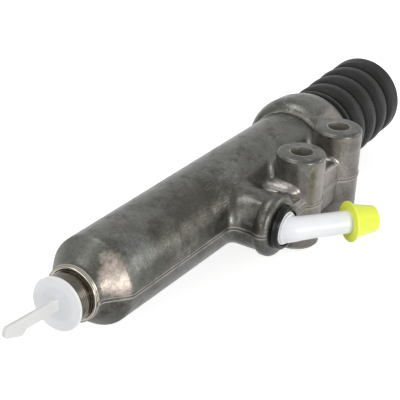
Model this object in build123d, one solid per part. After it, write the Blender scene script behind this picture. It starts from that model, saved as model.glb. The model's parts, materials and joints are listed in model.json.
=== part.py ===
from build123d import *
import math
import os

# A clutch master cylinder with a die-cast body. The model is built about the bore axis, which
# runs along X, with x = 0 midway between the two mounting holes. At the end every piece is moved
# so that the origin is the middle of the mounting holes, on the seat face of the lugs.

# Bore and mouth
bore_d = 19.05
bore_depth = 155.2
mouth_d = 21.2
mouth_depth = 4.4
drill_d = 6.0
cut_over = 1.0

# Casting, outside
barrel_d = 32.2
collar_d = 40.2
collar_flank_drop = 0.45
collar_end_drop = 1.7
collar_length = 19.4
collar_end_x = 38.2
collar_taper = 5.6
collar_edge = 0.8
shoulder_length = 7.2
spigot_wall = 2.65
spigot_length = 5.0
spigot_edge = 0.5
cone_length = 8.4
cone_root_r = 2.5
cone_corner_r = 3.0
nose_step_d = 20.2
nose_step_length = 3.0
nose_x = -126.1

# Outlet neck
neck_d = 18.0
neck_length = 7.3
neck_groove_d = 15.8
neck_groove_width = 2.4
neck_edge = 0.5
seat_d = 20.0
seat_lift = 0.5
port_d = 11.0
port_depth = 12.0

# Lugs and web
lug_spacing = 30.0
lug_hole_d = 8.5
lug_d = 18.6
lug_height = 36.5
lug_stand_off = 6.9
lug_top_r = 1.5
lug_edge = 0.8
web_rise = 7.8
web_drop = 10.5
web_front = 12.2
web_rear = 2.4
web_outer = 5.4
web_edge = 2.8
web_corner = 6.6
web_root_r = 2.5
lug_root_r = 2.0
bridge_rise = 3.2
bridge_drop = 8.0
bridge_edge = 1.5
bridge_setback = 0.4

# Inlet boss
inlet_x = -41.2
boss_d = 21.6
boss_rim_d = 23.8
boss_rim_length = 5.8
boss_step_length = 1.8
boss_edge = 2.6
boss_stand_off = 14.2
boss_root_r = 4.2
grommet_seat_d = 16.6
grommet_seat_depth = 11.0
chamber_d = 13.0
chamber_floor = 3.2
feed_port_d = 3.0
feed_port_offset = 5.2
bleed_port_d = 1.0
bleed_port_offset = 5.0

# Parting line left by the two halves of the die
parting_width = 1.5
parting_height = 0.25
parting_drop = 0.3

# Piston
piston_gap = 0.05
piston_edge = 0.3
piston_head_length = 3.3
piston_waist_d = 13.2
piston_nose_d = 6.8
piston_nose_length = 6.6
piston_land_length = 2.0
piston_socket_depth = 16.4
head_hole_d = 1.6
head_hole_count = 6
seal_groove_d = 12.6
seal_groove_width = 4.2
seal_land = 2.0

# Seals and small inner parts
cup_washer_thickness = 0.4
cup_length = 4.2
cup_base = 2.0
cup_lip = 0.5
cup_back_edge = 0.6
cup_washer_play = 0.6
cup_port_lead = 0.3
spring_seat_d = 16.4
spring_seat_thickness = 0.8
spring_seat_sleeve = 3.0
spring_wire_d = 2.0
spring_mean_d = 13.2
spring_turns = 8
spring_flat_turns = 0.7
spring_runs = 12
spring_sides = 6
end_fit = 0.1
secondary_floor = 1.3
secondary_lip = 0.5

# Stop washer and retaining ring
stop_hole_d = 16.6
stop_thickness = 1.2
circlip_thickness = 1.0
circlip_band = 2.2
circlip_gap_angle = 46.0
circlip_groove_depth = 0.75
circlip_ear_r = 1.9
circlip_ear_hole_d = 1.5
circlip_ear_gap = 0.3
circlip_turn = 90.0
ring_gap = 0.05

# Pushrod
ball_d = 12.0
ball_gap = 0.06
rod_d = 7.6
rod_thread_d = 8.0
rod_thread_length = 9.0
rod_length = 72.0
rod_tip_chamfer = 0.8
clip_thickness = 1.2
clip_hole_d = 10.8
clip_groove_depth = 1.3
clip_set = 3.0
clip_slot = 2.0

# Dust boot
boot_wall = 1.5
boot_set = 0.3
boot_grip_wall = 2.2
boot_ring_height = 1.1
boot_bead_length = 5.5
boot_ring_width = 2.4
boot_ring_edge = 0.7
boot_groove_at = 1.0
boot_groove_width = 2.0
boot_groove_depth = 1.1
boot_neck = 3.0
boot_overlap = 1.2
boot_step = 0.3
boot_crest_d = 35.2
boot_valley_d = 29.0
boot_pitch = 10.1
boot_folds = 3
boot_crest_flat = 4.0
boot_valley_flat = 1.2
boot_bulb_d = 34.4
boot_bulb_rise = 3.6
boot_bulb_length = 9.2
boot_bulb_edge = 2.6
boot_lip_d = 15.0
boot_lip_length = 4.0
boot_lift = 4.0
rubber_gap = 0.3

# Inlet elbow, grommet and cap
elbow_leg_d = 10.6
elbow_leg_out = 3.9
elbow_stem_d = 8.5
elbow_stem_length = 32.0
elbow_turn = 53.4
elbow_bore_d = 5.0
elbow_barb_d = 12.0
elbow_barb_length = 2.4
elbow_barb_edge = 0.6
elbow_barb_gap = 0.1
grommet_lip_out = 0.6
grommet_edge = 0.5
swivel_gap = 0.05
seat_gap = 0.02
cap_flange_d = 15.4
cap_flange_thickness = 0.9
cap_root_d = 12.4
cap_tip_d = 10.2
cap_length = 10.9
cap_roof = 2.2
cap_edge = 0.9

# Outlet plug
plug_flange_d = 19.1
plug_flange_thickness = 0.8
plug_stem_depth = 8.0
plug_wall = 1.2
tab_length = 27.0
tab_width = 4.4
tab_paddle_width = 6.2
tab_paddle_length = 10.0
tab_tip_width = 4.0
tab_corner = 1.0
tab_root = 0.4
tab_thickness = 1.3
tab_lift = 4.0

# Places along the bore axis
spigot_d = mouth_d + 2 * (circlip_groove_depth + spigot_wall)
mouth_x = collar_end_x + spigot_length
stop_x = mouth_x - mouth_depth
bore_floor_x = mouth_x - bore_depth
neck_end_x = nose_x - neck_length
bleed_x = inlet_x - bleed_port_offset
head_x = bleed_x + bleed_port_d / 2 + cup_port_lead + cup_length + cup_washer_thickness
piston_r = bore_d / 2 - piston_gap
ball_x = stop_x - piston_socket_depth + ball_d / 2 + ball_gap
lug_offset = barrel_d / 2 + lug_stand_off
boss_reach = barrel_d / 2 + boss_stand_off
lug_xs = (-lug_spacing / 2, lug_spacing / 2)
axis_to_seat = Vector(0, lug_offset, lug_height / 2)


def turned(points):
    """A closed outline of (x, radius) points turned about the bore axis."""
    return revolve(make_face(Polyline(*points, close=True)), Axis.X)


def rod_x(x_from, x_to, diameter):
    """A plain round bar along the bore axis."""
    return turned([(x_from, 0), (x_to, 0), (x_to, diameter / 2), (x_from, diameter / 2)])


def ring_x(x_from, x_to, inner_d, outer_d):
    """A flat ring square to the bore axis."""
    return turned([(x_from, inner_d / 2), (x_to, inner_d / 2), (x_to, outer_d / 2), (x_from, outer_d / 2)])


def bar_y(x, reach_from, reach_to, diameter):
    """A round bar along -Y at x, from one distance off the bore axis to another."""
    length = reach_to - reach_from
    place = Pos(x, -(reach_from + reach_to) / 2, 0) * Rot(X=90)
    return place * Cylinder(diameter / 2, length)


def barrel_outline(grow=0.0):
    """Half outline of the nose, cone and barrel, up to inside the collar."""
    r_barrel = barrel_d / 2 + grow
    r_step = nose_step_d / 2 + grow
    cone_root = (nose_x + nose_step_length, r_step)
    cone_corner = (nose_x + nose_step_length + cone_length, r_barrel)
    inside_collar_x = collar_end_x - collar_taper
    face = make_face(Polyline(
        (nose_x, 0), (nose_x, r_step), cone_root, cone_corner,
        (inside_collar_x, r_barrel), (inside_collar_x, 0), close=True,
    ))
    return rounded_at(rounded_at(face, [cone_root], cone_root_r), [cone_corner], cone_corner_r)


def collar_outline(grow=0.0):
    """Half outline of the collar: a swelling shoulder, a near-straight crest and a tapered back."""
    r_barrel = barrel_d / 2 + grow
    r_collar = collar_d / 2 + grow
    start_x = collar_end_x - collar_length
    crest = (start_x + shoulder_length, r_collar)
    back_r = r_collar - collar_end_drop
    front = Polyline((crest[0], 0), (start_x, 0), (start_x, r_barrel))
    rise = r_collar - r_barrel
    shoulder = EllipticalCenterArc((crest[0], r_barrel), shoulder_length, rise, 90, arc_size=90)
    rear = Polyline(
        crest, (collar_end_x - collar_taper, r_collar - collar_flank_drop),
        (collar_end_x - collar_edge, back_r), (collar_end_x, back_r - collar_edge),
        (collar_end_x, 0), (crest[0], 0),
    )
    return make_face([front, shoulder, rear])


def neck_and_spigot():
    """The machined outlet neck with its undercut, and the spigot that carries the boot."""
    seat_x = nose_x - seat_lift
    neck_r = neck_d / 2
    neck = turned([
        (nose_x, 0), (nose_x, seat_d / 2), (seat_x, seat_d / 2 - seat_lift),
        (seat_x, neck_groove_d / 2), (seat_x - neck_groove_width, neck_groove_d / 2),
        (seat_x - neck_groove_width, neck_r), (neck_end_x + neck_edge, neck_r),
        (neck_end_x, neck_r - neck_edge), (neck_end_x, 0),
    ])
    groove_x = collar_end_x + boot_set + boot_groove_at
    spigot = rod_x(collar_end_x, mouth_x, spigot_d)
    spigot = chamfer(spigot.edges().sort_by(Axis.X)[-1], spigot_edge)
    groove = ring_x(groove_x, groove_x + boot_groove_width, spigot_d - 2 * boot_groove_depth, spigot_d)
    return neck + (spigot - groove)


def boss_outline(grow=0.0):
    """Half outline of the inlet boss: a stem that steps out to a thicker rim with a rounded face."""
    rim_start = boss_reach - boss_rim_length
    stem_x = inlet_x + boss_d / 2 + grow
    rim_x = inlet_x + boss_rim_d / 2 + grow
    face = make_face(Polyline(
        (inlet_x, 0), (stem_x, 0), (stem_x, -rim_start), (rim_x, -rim_start - boss_step_length),
        (rim_x, -boss_reach), (inlet_x, -boss_reach), close=True,
    ))
    return rounded_at(face, [(rim_x, -boss_reach)], boss_edge)


def boss():
    """The inlet boss, turned about its own axis."""
    return revolve(boss_outline(), Axis((inlet_x, 0, 0), (0, 1, 0)))


def web_plan():
    """Plan outline of the web that ties the two lugs to the barrel, with rounded corners."""
    front = -lug_spacing / 2 - web_front
    rear = lug_spacing / 2 + web_rear
    outer = lug_offset + web_outer
    plan = Pos((front + rear) / 2, -outer / 2) * Rectangle(rear - front, outer)
    return fillet(plan.vertices(), web_corner)


def web_plate():
    """The web between barrel and lugs, with rounded top and bottom edges."""
    plate = Pos(0, 0, -web_drop) * extrude(web_plan(), web_rise + web_drop)
    rims = plate.faces().sort_by(Axis.Z)[-1].edges() + plate.faces().sort_by(Axis.Z)[0].edges()
    return fillet(rims, web_edge)


def bridge():
    """The low bridge between the inlet boss and the front lug, eased along its outer edges."""
    bridge_to = -lug_spacing / 2
    reach = boss_reach - bridge_setback
    height = bridge_rise + bridge_drop
    middle = Pos((bridge_to + inlet_x) / 2, -reach / 2, bridge_rise - height / 2)
    block = middle * Box(bridge_to - inlet_x, reach, height)
    outer = block.faces().sort_by(Axis.Y)[0]
    return chamfer(outer.edges().filter_by(Axis.X), bridge_edge)


def lug(x):
    """One mounting lug: a full-height round column, rounded on top and chamfered at its seat."""
    column = Pos(x, -lug_offset, 0) * Cylinder(lug_d / 2, lug_height)
    column = fillet(column.edges().filter_by(GeomType.CIRCLE).sort_by(Axis.Z)[-1], lug_top_r)
    return chamfer(column.edges().filter_by(GeomType.CIRCLE).sort_by(Axis.Z)[0], lug_edge)


def parting_band():
    """The fine raised band where the die halves met, all round the casting at mid height."""
    half = barrel_outline(parting_height) + collar_outline(parting_height)
    boss_half = boss_outline(parting_height)
    boss_plane = Plane(origin=(inlet_x, 0, 0), z_dir=(1, 0, 0))
    lugs_plan = [Pos(x, -lug_offset) * Circle(lug_d / 2 + parting_height) for x in lug_xs]
    web_part = offset(web_plan(), parting_height)
    whole = half + mirror(half, Plane.XZ) + lugs_plan + web_part
    whole = whole + boss_half + mirror(boss_half, boss_plane)
    return Pos(0, 0, -parting_drop - parting_width / 2) * extrude(whole, parting_width)


def casting_cuts():
    """All holes of the casting: bore, mouth, outlet, inlet seat, ports and bolt holes."""
    port_end_x = neck_end_x + port_depth
    groove_x = stop_x + stop_thickness
    groove_end = groove_x + circlip_thickness + 2 * ring_gap
    seat_floor = boss_reach - grommet_seat_depth
    cuts = [
        rod_x(bore_floor_x, mouth_x + cut_over, bore_d),
        rod_x(stop_x, mouth_x + cut_over, mouth_d),
        ring_x(groove_x, groove_end, bore_d, mouth_d + 2 * circlip_groove_depth),
        rod_x(neck_end_x - cut_over, port_end_x, port_d),
        rod_x(port_end_x - cut_over, bore_floor_x + cut_over, drill_d),
        bar_y(inlet_x, seat_floor, boss_reach + cut_over, grommet_seat_d),
        bar_y(inlet_x, bore_d / 2 + chamber_floor, boss_reach, chamber_d),
        bar_y(inlet_x + feed_port_offset, bore_d / 2 - cut_over, seat_floor, feed_port_d),
        bar_y(bleed_x, bore_d / 2 - cut_over, seat_floor, bleed_port_d),
    ]
    for x in lug_xs:
        cuts.append(Pos(x, -lug_offset, 0) * Cylinder(lug_hole_d / 2, lug_height + 2 * cut_over))
    return cuts


def blended(base, addition, radius):
    """Join a piece to the casting and round the inner corner where they meet, as a die does."""
    joined = base + addition
    return fillet(new_edges(base, addition, combined=joined), radius)


def body_casting():
    """The die-cast housing with its machined bore, neck and spigot."""
    boss_room = boss_reach - boss_rim_length - barrel_d / 2
    solid = revolve(barrel_outline(), Axis.X)
    solid = blended(solid, boss(), min(boss_root_r, boss_room / 2))
    solid = blended(solid, web_plate(), web_root_r)
    for x in lug_xs:
        solid = blended(solid, lug(x), lug_root_r)
    collar = revolve(collar_outline(), Axis.X)
    return solid + bridge() + collar + parting_band() + neck_and_spigot() - casting_cuts()


def piston():
    """The piston: drilled head, waist, seal groove and a round-bottomed socket for the pushrod."""
    waist_x = head_x + piston_head_length
    groove_end = stop_x - piston_socket_depth - seal_land
    groove_x = groove_end - seal_groove_width
    rear_x = groove_x - piston_land_length
    nose_x_end = head_x - piston_nose_length
    waist_r = piston_waist_d / 2
    body = turned([
        (nose_x_end, 0), (stop_x, 0), (stop_x, piston_r - piston_edge), (stop_x - piston_edge, piston_r),
        (groove_end, piston_r), (groove_end, seal_groove_d / 2), (groove_x, seal_groove_d / 2),
        (groove_x, piston_r), (rear_x, piston_r), (rear_x, waist_r), (waist_x, waist_r),
        (waist_x, piston_r), (head_x, piston_r), (head_x, piston_nose_d / 2),
        (nose_x_end, piston_nose_d / 2),
    ])
    socket_r = ball_d / 2 + ball_gap
    socket = rod_x(ball_x, stop_x + cut_over, 2 * socket_r) + Pos(ball_x, 0, 0) * Sphere(socket_r)
    clip_x = ball_x + clip_set
    clip_end = clip_x + clip_thickness + ring_gap
    clip_groove = ring_x(clip_x, clip_end, socket_r, 2 * (socket_r + clip_groove_depth))
    hole_circle_r = (piston_r + waist_r) / 2
    hole_length = piston_head_length + 2 * cut_over
    hole = Pos(head_x + piston_head_length / 2, 0, hole_circle_r) * Rot(Y=90)
    hole = hole * Cylinder(head_hole_d / 2, hole_length)
    holes = [Rot(X=360 / head_hole_count * (i + 0.5)) * hole for i in range(head_hole_count)]
    return body - [socket, clip_groove] - holes


def cup_washer():
    """Thin steel washer that keeps the primary cup out of the drilled holes in the piston head."""
    outer_d = bore_d - 2 * cup_washer_play
    return ring_x(head_x - cup_washer_thickness, head_x, piston_nose_d + 2 * end_fit, outer_d)


def primary_cup():
    """The main rubber cup, lip forward, on the piston's nose."""
    back_x = head_x - cup_washer_thickness
    base_x = back_x - cup_base
    lip_x = back_x - cup_length
    outer_r = bore_d / 2 - piston_gap
    inner_r = piston_nose_d / 2 + end_fit
    valley_r = spring_seat_d / 2 + rubber_gap
    return turned([
        (back_x, inner_r), (back_x, outer_r - cup_back_edge), (lip_x, outer_r),
        (lip_x, outer_r - cup_lip), (base_x, valley_r), (base_x, inner_r),
    ])


def spring_seat():
    """Pressed steel seat between the return spring and the primary cup."""
    flange_x = head_x - cup_washer_thickness - cup_base
    front_x = flange_x - spring_seat_thickness
    inner_r = piston_nose_d / 2 + end_fit
    sleeve_r = inner_r + spring_seat_thickness
    return turned([
        (flange_x, inner_r), (flange_x, spring_seat_d / 2), (front_x, spring_seat_d / 2),
        (front_x, sleeve_r), (front_x - spring_seat_sleeve, sleeve_r),
        (front_x - spring_seat_sleeve, inner_r),
    ])


def spring_path(edge_r, length):
    """Corner points of the coil: flat end turns with a steady rise between them, in short straight runs."""
    runs = spring_turns * spring_runs
    flat_runs = round(spring_flat_turns * spring_runs)
    rising = runs - 2 * flat_runs
    points = []
    for i in range(runs + 1):
        risen = min(max(i - flat_runs, 0), rising) / rising
        angle = 2 * math.pi * i / spring_runs
        height = edge_r + (length - 2 * edge_r) * risen
        points.append((spring_mean_d / 2 * math.cos(angle), spring_mean_d / 2 * math.sin(angle), height))
    return points


def return_spring():
    """The coil return spring, with a flat-sided wire and closed ends that sit on their seats."""
    wire_r = spring_wire_d / 2
    back_x = head_x - cup_washer_thickness - cup_base - spring_seat_thickness
    edge_r = wire_r / math.cos(math.pi / spring_sides)
    points = spring_path(edge_r, back_x - bore_floor_x)
    start = Plane(origin=points[0], x_dir=(0, 0, 1), z_dir=Vector(*points[1]) - Vector(*points[0]))
    section = start * RegularPolygon(edge_r, spring_sides)
    wire = sweep(section, Polyline(*points), transition=Transition.RIGHT)
    return Pos(bore_floor_x, 0, 0) * Rot(Y=90) * wire


def secondary_cup():
    """The rear lip seal in the piston's groove, lip towards the fluid."""
    groove_end = stop_x - piston_socket_depth - seal_land
    back_x = groove_end - end_fit
    front_x = groove_end - seal_groove_width + end_fit
    inner_r = seal_groove_d / 2 + piston_gap
    outer_r = bore_d / 2 - piston_gap
    middle_r = (inner_r + outer_r) / 2
    return turned([
        (back_x, inner_r), (back_x, outer_r - secondary_lip), (front_x, outer_r),
        (front_x, outer_r - secondary_lip), (back_x - secondary_floor, middle_r),
        (front_x, inner_r + secondary_lip), (front_x, inner_r),
    ])


def stop_washer():
    """The washer in the mouth that the piston comes back against."""
    return ring_x(stop_x, stop_x + stop_thickness, stop_hole_d, mouth_d - 2 * seat_gap)


def circlip():
    """Internal retaining ring in the mouth's groove, turned so its two drilled ears stand at the side."""
    start_x = stop_x + stop_thickness + ring_gap
    outer_r = mouth_d / 2 + circlip_groove_depth - ring_gap
    inner_r = outer_r - circlip_band
    ear_out = mouth_d / 2 - circlip_ear_r - circlip_ear_gap
    plan = Circle(outer_r) - Circle(inner_r)
    half_gap = math.radians(circlip_gap_angle / 2)
    far = 2 * outer_r
    wedge = make_face(Polyline(
        (0, 0), (far * math.cos(half_gap), far * math.sin(half_gap)),
        (far * math.cos(half_gap), -far * math.sin(half_gap)), close=True,
    ))
    plan = plan - wedge
    ear_angle = half_gap + math.asin(circlip_ear_r / ear_out)
    for side in (-1, 1):
        centre = (ear_out * math.cos(ear_angle), side * ear_out * math.sin(ear_angle))
        plan = plan + Pos(*centre) * Circle(circlip_ear_r)
        plan = plan - Pos(*centre) * Circle(circlip_ear_hole_d / 2)
    flat = extrude(plan, circlip_thickness)
    return Pos(start_x, 0, 0) * Rot(X=circlip_turn) * Rot(Y=90) * flat


def lifted(shape, pivot_x, angle):
    """Swing a piece upwards about a point on the bore axis."""
    return Pos(pivot_x, 0, 0) * Rot(Y=-angle) * Pos(-pivot_x, 0, 0) * shape


def boot_end_x():
    """Where the boot's lip ends, before the boot is lifted."""
    return boot_swing_x() + boot_folds * boot_pitch + boot_bulb_length + boot_lip_length


def rod_lift():
    """The angle at which the pushrod passes through the lifted lip of the boot."""
    swing_x = boot_swing_x()
    lip_reach = boot_end_x() - boot_lip_length / 2 - swing_x
    lip_height = lip_reach * math.sin(math.radians(boot_lift))
    lip_x = swing_x + lip_reach * math.cos(math.radians(boot_lift))
    return math.degrees(math.atan2(lip_height, lip_x - ball_x))


def pushrod():
    """The pushrod: a ball head, a plain shank and a smaller end for the thread."""
    end_x = ball_x + rod_length
    thread_x = end_x - rod_thread_length
    shank = rod_x(ball_x, thread_x, rod_d)
    end = rod_x(thread_x, end_x, rod_thread_d)
    end = chamfer(end.edges().sort_by(Axis.X)[-1], rod_tip_chamfer)
    straight = Pos(ball_x, 0, 0) * Sphere(ball_d / 2) + shank + end
    return lifted(straight, ball_x, rod_lift())


def rod_clip():
    """The ring in the piston's socket that keeps the pushrod's ball from pulling out."""
    clip_x = ball_x + clip_set
    outer_d = ball_d + 2 * ball_gap + 2 * clip_groove_depth - 2 * ring_gap
    ring = ring_x(clip_x, clip_x + clip_thickness, clip_hole_d, outer_d)
    slot = Pos(clip_x, 0, -outer_d / 2) * Box(4 * clip_thickness, clip_slot, outer_d)
    return ring - slot


def boot_swing_x():
    """The first valley of the boot, where its straight front end meets the lifted bellows."""
    return collar_end_x + boot_set + boot_bead_length + boot_neck


def boot_front():
    """The straight front end of the boot: a sleeve with a raised ring and a lip in the spigot's groove."""
    start = collar_end_x + boot_set
    end = start + boot_bead_length
    grip_r = spigot_d / 2 + boot_grip_wall
    ring_r = grip_r + boot_ring_height
    ring_start = end - boot_ring_width
    inner_r = spigot_d / 2 + seat_gap
    lip_r = inner_r - boot_groove_depth
    lip_start = start + boot_groove_at + seat_gap
    lip_end = start + boot_groove_at + boot_groove_width - seat_gap
    valley_r = boot_valley_d / 2
    valley_start = boot_swing_x() - boot_overlap
    valley_end = boot_swing_x() + boot_overlap
    outline = [
        (start, grip_r), (ring_start, grip_r), (ring_start + boot_ring_edge, ring_r),
        (end - boot_ring_edge, ring_r), (end, grip_r), (valley_start, valley_r),
        (valley_end, valley_r), (valley_end, valley_r - boot_wall), (valley_start, valley_r - boot_wall),
        (mouth_x, inner_r), (lip_end, inner_r), (lip_end, lip_r), (lip_start, lip_r), (lip_start, inner_r),
        (start, inner_r),
    ]
    return turned(outline)


def fold_points():
    """Outer outline of the folds as (x, radius): a flat on each crest and a narrow one in each valley."""
    crest_r = boot_crest_d / 2
    valley_r = boot_valley_d / 2
    points = []
    for i in range(boot_folds):
        crest_x = boot_swing_x() + (i + 0.5) * boot_pitch
        valley_x = boot_swing_x() + (i + 1) * boot_pitch
        points += [(crest_x - boot_crest_flat / 2, crest_r), (crest_x + boot_crest_flat / 2, crest_r)]
        points += [(valley_x - boot_valley_flat / 2, valley_r), (valley_x + boot_valley_flat / 2, valley_r)]
    return points


def fold_points_inside():
    """Inner outline of the folds: one line to each crest and back to each valley."""
    crest_r = boot_crest_d / 2 - boot_wall
    valley_r = boot_valley_d / 2 - boot_wall
    points = []
    for i in range(boot_folds):
        crest_x = boot_swing_x() + (i + 0.5) * boot_pitch
        points += [(crest_x, crest_r), (crest_x + boot_pitch / 2, valley_r)]
    return points


def boot_bellows():
    """The folds, end bulb and lip of the boot, still in line with the bore."""
    start = boot_swing_x() - boot_overlap
    front_end = boot_swing_x() + boot_overlap
    last_valley_x = boot_swing_x() + boot_folds * boot_pitch
    bulb_start = last_valley_x + boot_bulb_rise
    bulb_end = last_valley_x + boot_bulb_length
    bulb_r = boot_bulb_d / 2
    hole_r = rod_d / 2 + rubber_gap
    first_r = boot_valley_d / 2 - boot_step
    outside = [(start, first_r), (front_end, first_r), *fold_points(), (bulb_start, bulb_r)]
    outside += [(bulb_end - boot_bulb_edge, bulb_r), (bulb_end, bulb_r - boot_bulb_edge)]
    outside += [(bulb_end, boot_lip_d / 2), (boot_end_x(), boot_lip_d / 2), (boot_end_x(), hole_r)]
    inside = [(start, first_r - boot_wall), (front_end, first_r - boot_wall), *fold_points_inside()]
    inside += [(bulb_start, bulb_r - boot_wall), (bulb_end - boot_bulb_edge, bulb_r - boot_wall)]
    inside += [(bulb_end - boot_wall, bulb_r - boot_bulb_edge - boot_wall / 2)]
    inside += [(bulb_end - boot_wall, hole_r)]
    return turned(outside + inside[::-1])


def rounded_at(face, points, radius):
    """Round the corners of a flat face that lie at the given points."""
    corners = [v for v in face.vertices() if any(math.dist((v.X, v.Y), p) < 1e-4 for p in points)]
    return fillet(corners, radius)


def dust_boot():
    """The rubber boot: a sleeve on the spigot, and bellows that rise slightly towards the pedal."""
    return boot_front() + lifted(boot_bellows(), boot_swing_x(), boot_lift)


def inlet_grommet():
    """The rubber sleeve that seals and holds the inlet elbow in the boss."""
    inner_d = elbow_leg_d + 2 * swivel_gap
    outer_d = grommet_seat_d - 2 * seat_gap
    start = boss_reach - grommet_seat_depth
    end = boss_reach + grommet_lip_out
    body = bar_y(inlet_x, start, end, outer_d)
    body = chamfer(body.edges().filter_by(GeomType.CIRCLE).sort_by(Axis.Y)[0], grommet_edge)
    return body - bar_y(inlet_x, start - cut_over, end + cut_over, inner_d)


def elbow_axes():
    """The turning point of the elbow and the direction of its stem."""
    turn = math.radians(elbow_turn)
    pivot = Vector(inlet_x, -(boss_reach + elbow_leg_out), 0)
    return pivot, Vector(math.sin(turn), -math.cos(turn), 0)


def bar_along(start, direction, length, diameter):
    """A round bar from a point along a direction."""
    return extrude(Plane(origin=start, z_dir=direction) * Circle(diameter / 2), length)


def inlet_elbow():
    """The white inlet elbow: a leg with a barb in the grommet, and a slanted hose stem."""
    pivot, direction = elbow_axes()
    inner_end = boss_reach - grommet_seat_depth
    leg_start = inner_end - elbow_barb_length
    leg = bar_y(inlet_x, leg_start, boss_reach + elbow_leg_out, elbow_leg_d)
    barb = bar_y(inlet_x, leg_start, inner_end - elbow_barb_gap, elbow_barb_d)
    barb = chamfer(barb.edges().filter_by(GeomType.CIRCLE).sort_by(Axis.Y)[-1], elbow_barb_edge)
    knee = Pos(pivot) * Sphere(elbow_leg_d / 2)
    stem = bar_along(pivot, direction, elbow_stem_length, elbow_stem_d)
    bore_in = bar_y(inlet_x, leg_start - cut_over, boss_reach + elbow_leg_out, elbow_bore_d)
    bore_out = bar_along(pivot, direction, elbow_stem_length + cut_over, elbow_bore_d)
    hollow = bore_in + bore_out
    return leg + barb + knee + stem - hollow


def inlet_cap():
    """The yellow transit cap on the hose stem: a thin flange and a tapered cup."""
    pivot, direction = elbow_axes()
    cap_start = elbow_stem_length + cap_roof - cap_length
    base = Plane(origin=pivot + direction * cap_start, z_dir=direction)
    flange = extrude(base * Circle(cap_flange_d / 2), cap_flange_thickness)
    cup_base = base * Circle(cap_root_d / 2)
    cup_tip = base.offset(cap_length) * Circle(cap_tip_d / 2)
    cup = loft([cup_base, cup_tip])
    tip_face = base.offset(cap_length).origin
    rim = cup.edges().filter_by(GeomType.CIRCLE).sort_by_distance(tip_face)[0]
    cup = chamfer(rim, cap_edge)
    inside = bar_along(pivot, direction, elbow_stem_length, elbow_stem_d + 2 * seat_gap)
    return flange + cup - inside


def outlet_plug():
    """The translucent plug in the outlet port, with a flange and a pull tab."""
    face_x = neck_end_x - plug_flange_thickness
    flange = rod_x(face_x, neck_end_x, plug_flange_d)
    stem = ring_x(neck_end_x, neck_end_x + plug_stem_depth, port_d - 2 * plug_wall, port_d - 2 * seat_gap)
    tab_x = face_x - tab_length
    paddle_x = tab_x + tab_paddle_length
    top = tab_width / 2
    outline = Polyline(
        (face_x + tab_root, top), (tab_x + tab_corner, top), (tab_x, top - tab_corner),
        (tab_x, top - tab_tip_width + tab_corner), (tab_x + tab_corner, top - tab_tip_width),
        (paddle_x - tab_corner, top - tab_paddle_width), (paddle_x + tab_corner, -top),
        (face_x + tab_root, -top), close=True,
    )
    strap = extrude(Plane.XZ * make_face(outline), tab_thickness / 2, both=True)
    return flange + stem + lifted(strap, face_x, -tab_lift)


nodes = {
    "body_casting": body_casting,
    "piston": piston,
    "cup_washer": cup_washer,
    "primary_cup": primary_cup,
    "spring_seat": spring_seat,
    "return_spring": return_spring,
    "secondary_cup": secondary_cup,
    "stop_washer": stop_washer,
    "circlip": circlip,
    "pushrod": pushrod,
    "rod_clip": rod_clip,
    "inlet_grommet": inlet_grommet,
    "inlet_elbow": inlet_elbow,
    "inlet_cap": inlet_cap,
    "outlet_plug": outlet_plug,
    "dust_boot": dust_boot,
}

if __name__ == "__main__":
    os.makedirs("parts", exist_ok=True)
    for name, make in nodes.items():
        shape = Pos(axis_to_seat) * make()
        export_step(shape, f"parts/{name}.step")
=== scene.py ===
# %% [markdown]
# # A clutch master cylinder
# A clutch master cylinder turns the push of a pedal into fluid pressure. Its body is one aluminium
# die casting, and the small parts on it are rubber and plastic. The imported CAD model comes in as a
# fixed frame, and this notebook gives it its surfaces, its soft parts and its light.

# %% Load the CAD frame
import json
import math
import bmesh
import bpy
from mathutils import Matrix, Vector


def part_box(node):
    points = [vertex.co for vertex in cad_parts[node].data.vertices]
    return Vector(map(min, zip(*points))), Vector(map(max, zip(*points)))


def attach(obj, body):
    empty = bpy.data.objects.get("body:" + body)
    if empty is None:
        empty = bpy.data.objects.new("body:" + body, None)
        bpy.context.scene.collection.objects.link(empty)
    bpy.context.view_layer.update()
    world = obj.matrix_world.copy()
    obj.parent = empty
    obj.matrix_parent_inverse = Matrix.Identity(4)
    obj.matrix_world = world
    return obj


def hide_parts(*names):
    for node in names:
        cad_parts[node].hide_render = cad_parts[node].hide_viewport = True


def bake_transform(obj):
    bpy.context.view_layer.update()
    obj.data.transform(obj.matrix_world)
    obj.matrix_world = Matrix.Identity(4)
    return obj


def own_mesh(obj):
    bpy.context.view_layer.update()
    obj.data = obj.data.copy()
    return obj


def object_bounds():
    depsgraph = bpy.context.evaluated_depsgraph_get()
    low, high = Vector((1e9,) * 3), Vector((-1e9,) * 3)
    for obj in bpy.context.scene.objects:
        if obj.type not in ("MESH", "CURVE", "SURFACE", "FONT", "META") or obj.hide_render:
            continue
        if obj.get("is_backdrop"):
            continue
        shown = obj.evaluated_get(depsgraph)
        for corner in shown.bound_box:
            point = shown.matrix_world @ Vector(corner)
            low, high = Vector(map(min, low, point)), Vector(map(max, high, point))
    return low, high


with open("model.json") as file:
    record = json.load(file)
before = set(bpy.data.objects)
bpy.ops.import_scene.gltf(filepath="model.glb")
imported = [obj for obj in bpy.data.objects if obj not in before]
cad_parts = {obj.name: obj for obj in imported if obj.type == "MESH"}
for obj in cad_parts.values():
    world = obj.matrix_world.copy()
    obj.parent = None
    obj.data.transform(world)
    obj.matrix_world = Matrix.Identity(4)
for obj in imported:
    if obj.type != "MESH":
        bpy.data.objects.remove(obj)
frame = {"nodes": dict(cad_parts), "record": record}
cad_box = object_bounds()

MM = 0.001
print("CAD nodes:", sorted(frame["nodes"]))

# %% [markdown]
# ## The lines that everything is placed by
# The origin is midway between the two bolt holes, on their seat face. The bore runs along X, above
# the origin and to one side. The casting's ends come from the CAD node's own box. The bore's axis,
# the bolt holes, the turned neck and the parting line are sizes that the part was drawn with.

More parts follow.
